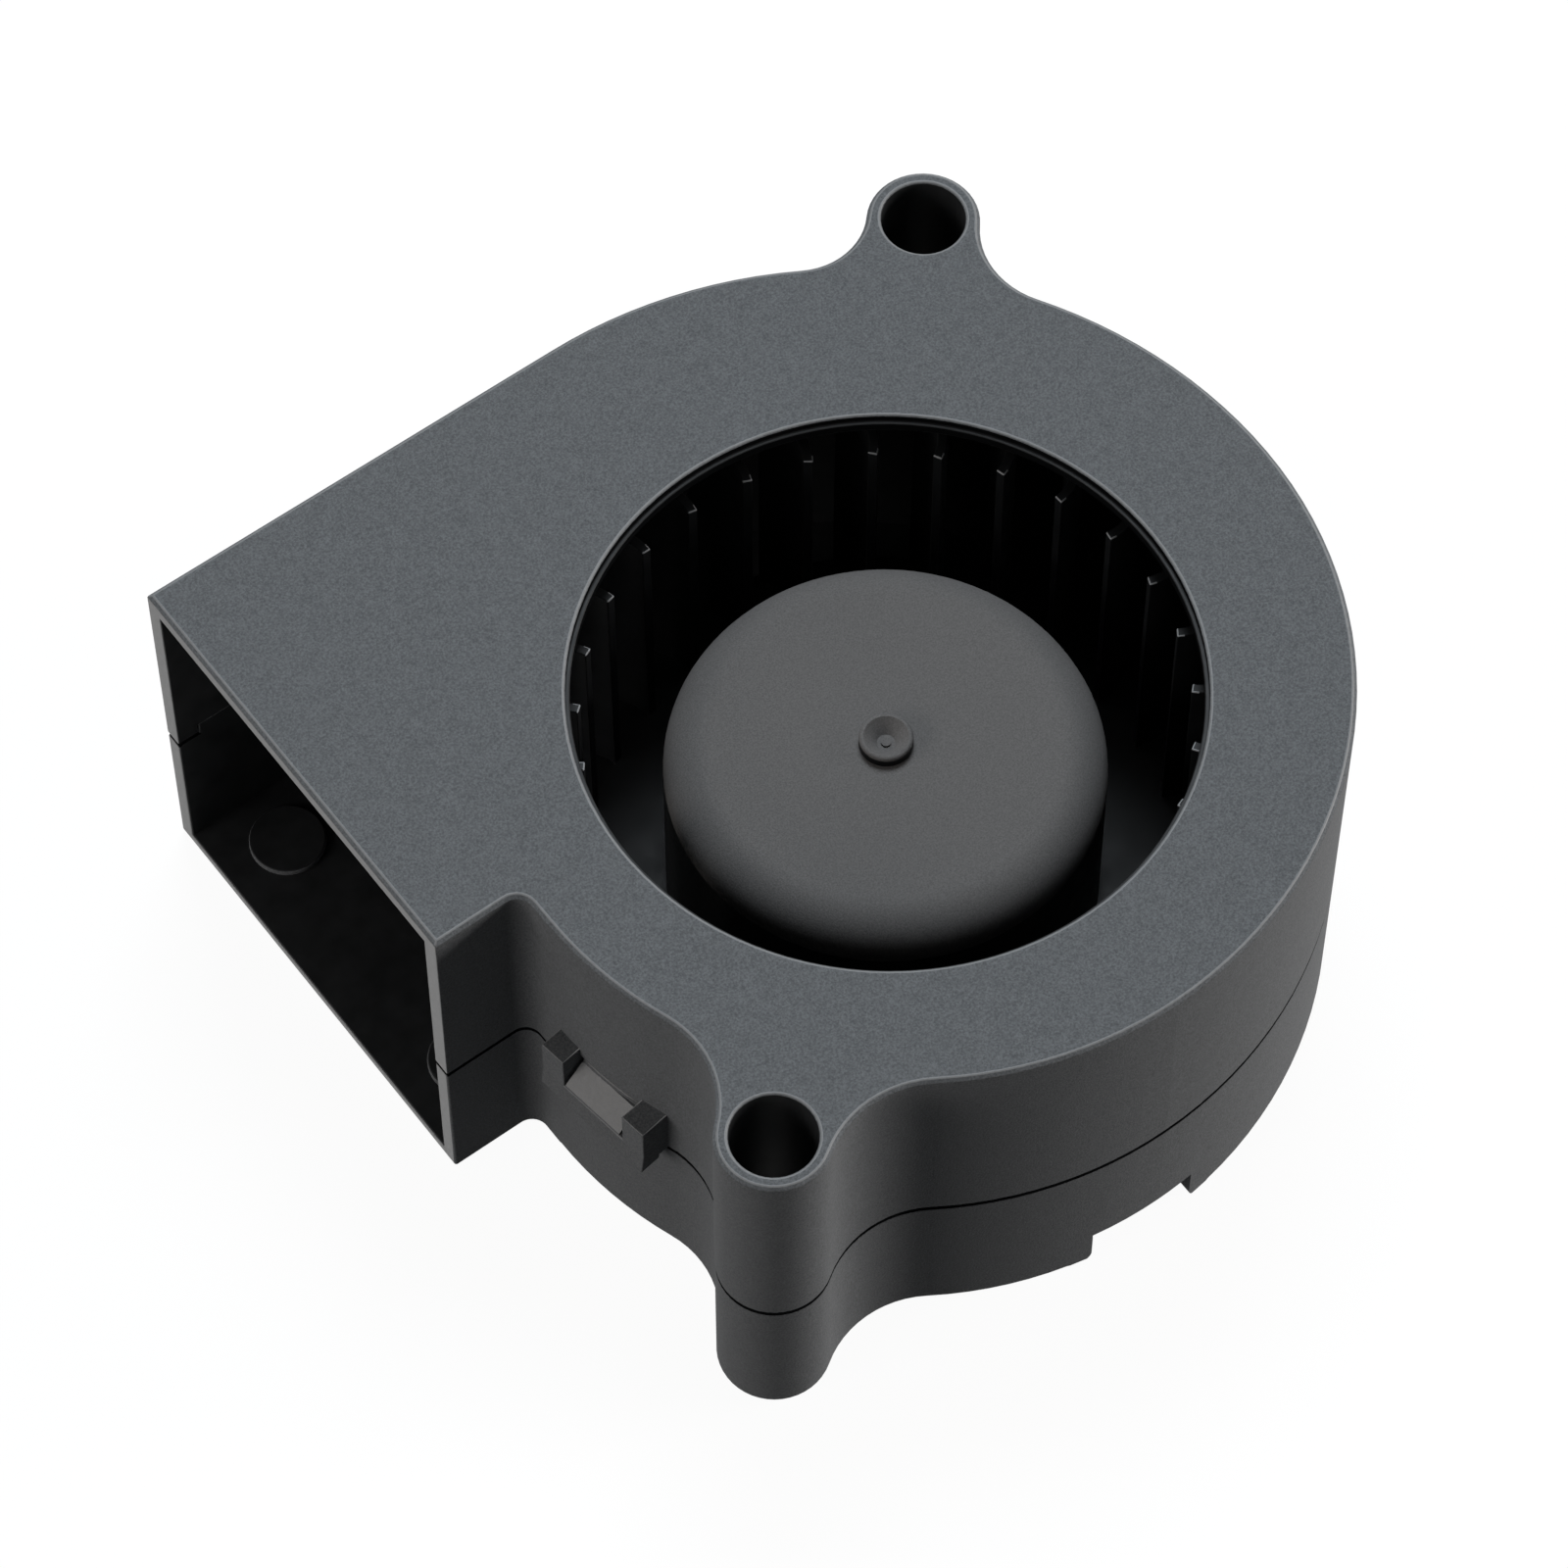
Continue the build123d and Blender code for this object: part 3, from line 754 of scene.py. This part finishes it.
class BLOWER_OT_impeller(bpy.types.Operator):
    """Dress the impeller"""

    bl_idname = "blower.impeller"
    bl_label = "Impeller"

    def execute(self, context):
        sizes = context.scene.blower_sizes
        colours = context.scene.blower_colours
        cap = fine_moulded_pbt(colours.wheel, sizes.grain)
        # Blades, back plate and hub side are darkened as painted shade
        shaded_vanes = shaded_polished_pbt("pbt_vanes_painted_shade", colours.shaded_vanes, sizes.grain)
        # The blades' corners are lightened as painted highlights
        tip_highlight = highlit_edge_pbt("pbt_blade_corner_painted_highlight", colours.corner, sizes.grain)
        piece, eased = eased_copy("impeller", sizes.wheel_edge)
        dress(piece, "impeller", "rotor", "impeller_plastic", shaded_vanes, cap, tip_highlight)
        _, yoke_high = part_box("rotor_yoke")
        _, wheel_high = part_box("impeller")
        radius = yoke_high[0] + HUB_WALL
        shoulder = yoke_high[2] - HUB_SHOULDER
        corner = wheel_high[2] - CORNER
        # Below the hub cap's top the wheel is darkened as painted shade
        for face in piece.data.polygons:
            out = face.center.xy.length
            height = face.center.z
            if out < radius and height > shoulder and face.normal.z > LEVEL:
                face.material_index = CAP
            # The blades' inner top corners are lightened as painted highlights
            elif face.index in eased and out < BLADE_END and height > corner:
                face.material_index = TIP_HIGHLIGHT
            else:
                face.material_index = SHADED_VANES
        return {"FINISHED"}


class BLOWER_OT_rotor_metal(bpy.types.Operator):
    """Finish the yoke, the magnet, the bush and the shaft"""

    bl_idname = "blower.rotor_metal"
    bl_label = "Yoke, magnet, bush and shaft"

    def execute(self, context):
        recoat(drawn_zinc_steel(), "rotor_yoke")
        recoat(bonded_ferrite(), "ring_magnet")
        recoat(turned_brass(), "rotor_bush", "bearing_tube")
        recoat(ground_steel(), "shaft")
        return {"FINISHED"}


class BLOWER_OT_bearing(bpy.types.Operator):
    """Finish the sleeve bearing, its washers and the thrust plate"""

    bl_idname = "blower.bearing"
    bl_label = "Sleeve bearing and washers"

    def execute(self, context):
        recoat(sintered_bronze(), "sleeve_bearing")
        recoat(natural_acetal(), "retaining_washer", "oil_washer", "thrust_plate")
        return {"FINISHED"}


def loop_path(half_width, half_height, corner):
    """Points and outward directions round a rectangle with rounded corners, in the YZ plane."""
    path = []
    for quarter in range(4):
        y_side = 1 if quarter in (0, 3) else -1
        z_side = 1 if quarter in (0, 1) else -1
        middle = Vector((0.0, y_side * (half_width - corner), z_side * (half_height - corner)))
        for step in range(COIL_STEPS + 1):
            angle = math.radians(90 * (quarter + step / COIL_STEPS))
            outward = Vector((0.0, math.cos(angle), math.sin(angle)))
            path.append((middle + outward * corner, outward))
    return path


def join_rings(shape, rings):
    """Faces between each ring of points and the next, and from the last to the first."""
    for first, second in zip(rings, rings[1:] + rings[:1]):
        for side in range(len(first)):
            following = (side + 1) % len(first)
            shape.faces.new((first[side], second[side], second[following], first[following]))


def add_wire_turn(shape, path, radius):
    """Closed tube along a path of centres and outward directions in the YZ plane."""
    rings = []
    for centre, outward in path:
        ring = []
        for side in range(COIL_SIDES):
            angle = 2 * math.pi * (side + 0.5) / COIL_SIDES
            lean = outward * math.cos(angle) + Vector((math.sin(angle), 0.0, 0.0))
            ring.append(shape.verts.new(centre + lean * radius))
        rings.append(ring)
    join_rings(shape, rings)


def add_winding_body(shape, path, start, reach, half_depth):
    """Closed ring of winding along a path, from start out to the curved pole shoe."""
    rings = []
    for point, outward in path:
        corners = []
        for side, shoe in ((-1, False), (1, False), (1, True), (-1, True)):
            spot = point + outward * side * half_depth
            spot.x = reach(spot.y) if shoe else start
            corners.append(shape.verts.new(spot))
        rings.append(corners)
    join_rings(shape, rings)
    bmesh.ops.remove_doubles(shape, verts=shape.verts, dist=WELD)


def wound_coil(name, angle, wire, depth):
    """Layer of wire turns, fanned against the curved pole shoe, round the body of the winding."""
    low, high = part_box("coil_1")
    half_width = (high[1] - low[1]) / 2
    half_height = (high[2] - low[2]) / 2
    middle = (high[2] + low[2]) / 2
    turns = round((high[0] - low[0]) / wire)
    radius = wire / 2
    start = low[0] + radius

    def reach(y):
        return math.sqrt(high[0] ** 2 - y ** 2) - radius

    shape = bmesh.new()
    half_depth = (depth - radius) / 2
    inset = radius + half_depth
    body = loop_path(half_width - inset, half_height - inset, half_depth)
    add_winding_body(shape, body, start, reach, half_depth)
    path = loop_path(half_width - radius, half_height - radius, COIL_CORNER - radius)
    for turn in range(turns):
        share = turn / (turns - 1)
        line = [
            (Vector((start + (reach(point.y) - start) * share, point.y, point.z)), outward)
            for point, outward in path
        ]
        add_wire_turn(shape, line, radius)
    bmesh.ops.recalc_face_normals(shape, faces=shape.faces)
    bmesh.ops.translate(shape, vec=Vector((0.0, 0.0, middle)), verts=shape.verts)
    turn = Matrix.Rotation(angle, 3, "Z")
    bmesh.ops.rotate(shape, cent=Vector(), matrix=turn, verts=shape.verts)
    mesh = bpy.data.meshes.new(name + "_wound")
    shape.to_mesh(mesh)
    shape.free()
    mesh.shade_smooth()
    mesh.set_sharp_from_angle(angle=SHARP_ANGLE)
    return add_object(name + "_wound", mesh)


class BLOWER_OT_stator(bpy.types.Operator):
    """Finish the core and the coil formers, and wind the four coils"""

    bl_idname = "blower.stator"
    bl_label = "Stator and windings"

    def execute(self, context):
        sizes = context.scene.blower_sizes
        recoat(stacked_sheets(sizes.sheet), "stator_core")
        recoat(moulded_nylon(), "upper_insulator", "lower_insulator")
        enamel = enamelled_wire(context.scene.blower_colours.enamel)
        for number in range(4):
            name = "coil_%d" % (number + 1)
            piece = wound_coil(name, math.radians(90 * number), sizes.wire, sizes.winding)
            dress(piece, name, "housing", "enamelled_copper", enamel)
        return {"FINISHED"}


class BLOWER_OT_board(bpy.types.Operator):
    """Finish the circuit board and what is soldered to it"""

    bl_idname = "blower.board"
    bl_label = "Circuit board"

    def execute(self, context):
        recoat(masked_laminate(context.scene.blower_colours.mask), "circuit_board")
        recoat(moulded_epoxy(), "hall_sensor", "drive_chip", "diode", "chip_resistors")
        recoat(fired_ceramic(), "chip_capacitors")
        recoat(tinned_finish(), "solder_pads", "winding_pins")
        return {"FINISHED"}


def softbox(name, azimuth, elevation, power, colour):
    """Square lamp that faces the blower from a direction given in degrees."""
    turn, rise = math.radians(azimuth), math.radians(elevation)
    across = LAMP_DISTANCE * math.cos(rise)
    height = LAMP_DISTANCE * math.sin(rise)
    place = Vector((across * math.cos(turn), across * math.sin(turn), height))
    lamp = bpy.data.lights.new(name, "AREA")
    lamp.shape = "SQUARE"
    lamp.size = LAMP_SIZE
    lamp.energy = power
    lamp.color = linear(colour)[:3]
    holder = add_object(name, lamp)
    holder.location = place
    holder.rotation_euler = (-place).to_track_quat("-Z", "Y").to_euler()


def sight(tree):
    """One for a ray of the camera and for its reflections and refractions, else nothing."""
    path = node(tree, "ShaderNodeLightPath")
    seen = path.outputs["Is Camera Ray"]
    for kind in ("Is Glossy Ray", "Is Transmission Ray"):
        either = {0: seen, 1: path.outputs[kind]}
        seen = node(tree, "ShaderNodeMath", either, operation="MAXIMUM").outputs[0]
    return seen


def pale_floor():
    """Wide floor: white to the camera but for the shadow, and clear from below."""
    floor = add_object("floor", bpy.data.meshes.new("floor"))
    half = FLOOR_HALF
    corners = [(-half, -half, 0), (half, -half, 0), (half, half, 0), (-half, half, 0)]
    floor.data.from_pydata(corners, [], [(0, 1, 2, 3)])
    floor.location.z = -FLOOR_GAP
    paper = bpy.data.materials.new("matt_paper")
    paper.use_nodes = True
    tree = paper.node_tree
    tree.nodes.clear()
    lit = node(tree, "ShaderNodeBsdfDiffuse", {"Color": even(FLOOR_LIT)})
    faint = node(tree, "ShaderNodeBsdfDiffuse", {"Color": even(FLOOR_SHADE)})
    glow = node(tree, "ShaderNodeEmission", {"Color": even(1.0), "Strength": FLOOR_GLOW})
    pale = node(tree, "ShaderNodeAddShader", {0: faint.outputs[0], 1: glow.outputs[0]})
    mix = node(
        tree,
        "ShaderNodeMixShader",
        {0: sight(tree), 1: lit.outputs[0], 2: pale.outputs[0]},
    )
    behind = node(tree, "ShaderNodeNewGeometry").outputs["Backfacing"]
    clear = node(tree, "ShaderNodeBsdfTransparent")
    one_sided = node(
        tree,
        "ShaderNodeMixShader",
        {0: behind, 1: mix.outputs[0], 2: clear.outputs[0]},
    )
    node(tree, "ShaderNodeOutputMaterial", {"Surface": one_sided.outputs[0]})
    floor.data.materials.append(paper)
    floor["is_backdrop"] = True


def studio_world():
    """White to the camera and in reflections, and a dim even light to the blower."""
    world = bpy.data.worlds.new("studio")
    world.use_nodes = True
    sky = world.node_tree
    sky.nodes.clear()
    white = node(sky, "ShaderNodeBackground", {"Color": even(1.0), "Strength": 1.0})
    dim = node(
        sky, "ShaderNodeBackground", {"Color": linear("#F8FAFC"), "Strength": SKY_STRENGTH}
    )
    both = node(
        sky,
        "ShaderNodeMixShader",
        {0: sight(sky), 1: dim.outputs[0], 2: white.outputs[0]},
    )
    node(sky, "ShaderNodeOutputWorld", {"Surface": both.outputs[0]})
    return world


class BLOWER_OT_stage(bpy.types.Operator):
    """Set the floor, the studio light and the camera of the photograph"""

    bl_idname = "blower.stage"
    bl_label = "Stage, light and camera"

    def execute(self, context):
        scene = context.scene
        pale_floor()
        scene.world = studio_world()
        for lamp in LAMPS:
            softbox(*lamp)

        lens = bpy.data.cameras.new("camera")
        lens.lens = LENS
        lens.sensor_width = SENSOR
        lens.clip_start = CLIP_START
        lens.clip_end = CLIP_END
        camera = add_object("camera", lens)
        turn = Matrix((CAMERA_RIGHT, CAMERA_UP, -CAMERA_AHEAD)).transposed().to_4x4()
        camera.matrix_world = Matrix.Translation(CAMERA_PLACE) @ turn
        scene.camera = camera
        scene.view_settings.view_transform = "Standard"
        return {"FINISHED"}


OPERATORS = (
    BLOWER_OT_shells,
    BLOWER_OT_impeller,
    BLOWER_OT_rotor_metal,
    BLOWER_OT_bearing,
    BLOWER_OT_stator,
    BLOWER_OT_board,
    BLOWER_OT_stage,
)


class BLOWER_PT_parts(bpy.types.Panel):
    """Sizes, colours and steps of the blower, in the 3D view's sidebar"""

    bl_idname = "BLOWER_PT_parts"
    bl_label = "Centrifugal blower"
    bl_space_type = "VIEW_3D"
    bl_region_type = "UI"
    bl_category = "Blower"

    def draw(self, context):
        layout = self.layout
        for group in (context.scene.blower_sizes, context.scene.blower_colours):
            for name in type(group).__annotations__:
                layout.prop(group, name)
        for operator in OPERATORS:
            layout.operator(operator.bl_idname)


CLASSES = (BlowerSizes, BlowerColours, *OPERATORS, BLOWER_PT_parts)


def register():
    """Makes the settings, the operators and the panel known to Blender."""
    for item in CLASSES:
        bpy.utils.register_class(item)
    bpy.types.Scene.blower_sizes = PointerProperty(type=BlowerSizes)
    bpy.types.Scene.blower_colours = PointerProperty(type=BlowerColours)


def unregister():
    """Takes them away again."""
    del bpy.types.Scene.blower_colours
    del bpy.types.Scene.blower_sizes
    for item in reversed(CLASSES):
        bpy.utils.unregister_class(item)


def main():
    """Dresses every piece, sets the stage and measures the bounds before and after."""
    register()
    for operator in OPERATORS:
        getattr(bpy.ops.blower, operator.bl_idname.removeprefix("blower."))()
    boxes = [[list(corner) for corner in box] for box in (CAD_BOX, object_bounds())]


if __name__ == "__main__":
    main()
